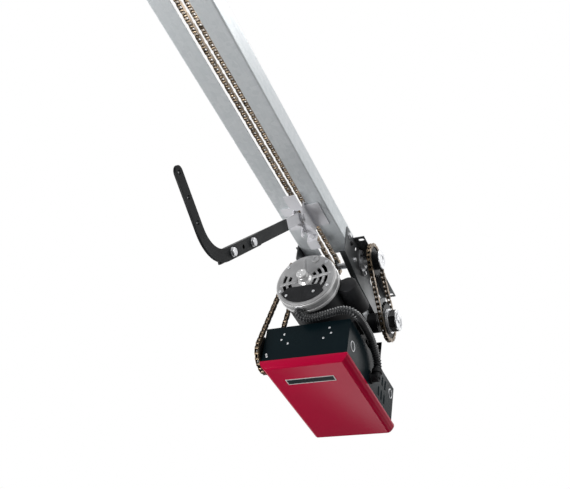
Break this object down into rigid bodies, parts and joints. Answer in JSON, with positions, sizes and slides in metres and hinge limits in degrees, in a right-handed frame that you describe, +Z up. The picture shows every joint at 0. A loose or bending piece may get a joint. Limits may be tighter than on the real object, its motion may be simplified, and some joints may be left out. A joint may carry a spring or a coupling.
{
  "type": "garage door opener",
  "caption": "Trolley door opener: steel angle rail with a chain-drawn trolley and curved door arm, and a power head with motor, gearbox, slip clutch and control box.",
  "frame": {"origin": "middle of the top face of the right-hand ceiling hanger flange", "axes": "+X across the rail towards the clutch side, +Y along the rail away from the door, +Z up towards the ceiling"},
  "size_m": [0.2615, 1.164, 0.4942],
  "materials": {
    "galvanised": "satin galvanised with faint spangle",
    "zinc": "bright zinc plate",
    "black_steel": "satin black powder coat",
    "cast_black": "satin black paint on a fine cast texture",
    "chain_steel": "oiled dark steel",
    "cast_alloy": "fine sandcast, satin",
    "red_paint": "gloss crimson paint",
    "black_plastic": "satin",
    "board_green": "lacquered",
    "brass": "machined"
  },
  "bodies": {
    "opener_head": {"box_conduit_connector": "cast_black", "box_rear_hanger": "black_steel", "capacitor_cover": "cast_black", "circuit_board": "board_green", "conduit": "black_plastic", "control_box_shell": "black_steel", "cover_hinge_leaf": "black_steel", "cover_hinge_pin": "zinc", "drive_chain": "chain_steel", "frame_plate_left": "black_steel", "frame_plate_right": "black_steel", "gearbox_cover": "cast_black", "gearbox_housing": "cast_black", "gearbox_mount_plate": "galvanised", "header_bracket": "black_steel", "idler_axle": "zinc", "left_rail": "galvanised", "limit_chain": "chain_steel", "limit_switch_bar": "black_plastic", "motor_conduit_connector": "zinc", "motor_contactor": "black_plastic", "motor_drive_flange": "cast_black", "motor_end_bell": "cast_alloy", "motor_hub_cap": "cast_alloy", "motor_shell": "cast_black", "motor_wiring_plate": "cast_black", "rail_chain": "chain_steel", "right_rail": "galvanised", "shaft_bearing_left": "zinc", "shaft_bearing_right": "zinc", "transformer": "cast_black"},
    "trolley_carriage": {"trolley": "zinc", "take_up_bolt": "zinc", "arm_pivot_pin": "zinc"},
    "door_arm": {"arm_link": "zinc", "straight_arm": "black_steel", "curved_arm": "black_steel", "arm_bolt_upper": "zinc", "arm_bolt_lower": "zinc"},
    "release": {"release_lever": "zinc"},
    "idler": {"idler_sprocket": "black_steel"},
    "output": {"output_shaft": "zinc", "drive_sprocket": "black_steel", "output_sprocket": "black_steel", "limit_drive_sprocket": "black_steel", "shaft_hub": "cast_black", "shaft_end_disc": "zinc"},
    "clutch": {"clutch_shaft": "zinc", "clutch_sprocket": "black_steel", "clutch_plates": "zinc", "clutch_nut": "cast_black", "clutch_ring": "zinc"},
    "worm_gear": {"worm_wheel": "brass"},
    "rotor": {"motor_rotor": "zinc", "cooling_fan": "black_plastic"},
    "limit_screw": {"limit_shaft": "zinc", "limit_sprocket": "black_steel"},
    "close_nut": {"limit_nut_close": "brass"},
    "open_nut": {"limit_nut_open": "brass"},
    "cover": {"control_box_cover": "red_paint"}
  },
  "joints": [
    {"name": "trolley_travel", "type": "slide", "parent": "opener_head", "child": "trolley_carriage", "axis": [0, 1, 0], "range_m": [-0.5, 0.02]},
    {"name": "arm_swing", "type": "hinge", "parent": "trolley_carriage", "child": "door_arm", "pos_m": [-0.0792, -0.296, -0.0688], "axis": [1, 0, 0], "range_deg": [-32, 50]},
    {"name": "release_swing", "type": "hinge", "parent": "trolley_carriage", "child": "release", "pos_m": [-0.0927, -0.244, -0.0514], "axis": [1, 0, 0], "range_deg": [-60, 20]},
    {"name": "idler_spin", "type": "hinge", "parent": "opener_head", "child": "idler", "pos_m": [-0.0792, -0.924, -0.0284], "axis": [1, 0, 0], "range_deg": [-1800, 90]},
    {"name": "output_spin", "type": "hinge", "parent": "opener_head", "child": "output", "pos_m": [-0.0792, -0.061, -0.0304], "axis": [1, 0, 0], "range_deg": [-1800, 90]},
    {"name": "clutch_spin", "type": "hinge", "parent": "opener_head", "child": "clutch", "pos_m": [-0.0792, 0.067, -0.1274], "axis": [1, 0, 0], "range_deg": [-1800, 90]},
    {"name": "limit_spin", "type": "hinge", "parent": "opener_head", "child": "limit_screw", "pos_m": [-0.0792, -0.128, -0.3294], "axis": [1, 0, 0], "range_deg": [-1800, 90]},
    {"name": "close_nut_travel", "type": "slide", "parent": "opener_head", "child": "close_nut", "axis": [1, 0, 0], "range_m": [-0.003, 0.012]},
    {"name": "open_nut_travel", "type": "slide", "parent": "opener_head", "child": "open_nut", "axis": [1, 0, 0], "range_m": [-0.003, 0.012]},
    {"name": "rotor_spin", "type": "hinge", "parent": "opener_head", "child": "rotor", "pos_m": [-0.0922, -0.27, -0.1724], "axis": [0, 1, 0], "continuous": true},
    {"name": "worm_wheel_spin", "type": "hinge", "parent": "opener_head", "child": "worm_gear", "pos_m": [-0.0792, 0.067, -0.1274], "axis": [1, 0, 0], "continuous": true},
    {"name": "cover_hinge", "type": "hinge", "parent": "opener_head", "child": "cover", "pos_m": [-0.0792, 0.1715, -0.3591], "axis": [1, 0, 0], "range_deg": [0, 100]}
  ],
  "couplings": [
    {"joint": "idler_spin", "follows": "trolley_travel", "rad_per_m": 61.842},
    {"joint": "output_spin", "follows": "trolley_travel", "rad_per_m": 61.842},
    {"joint": "clutch_spin", "follows": "trolley_travel", "rad_per_m": 51.535},
    {"joint": "limit_spin", "follows": "trolley_travel", "rad_per_m": 37.105},
    {"joint": "close_nut_travel", "follows": "trolley_travel", "ratio": -0.018898},
    {"joint": "open_nut_travel", "follows": "trolley_travel", "ratio": -0.018898},
    {"joint": "worm_wheel_spin", "follows": "rotor_spin", "ratio": 0.05}
  ]
}
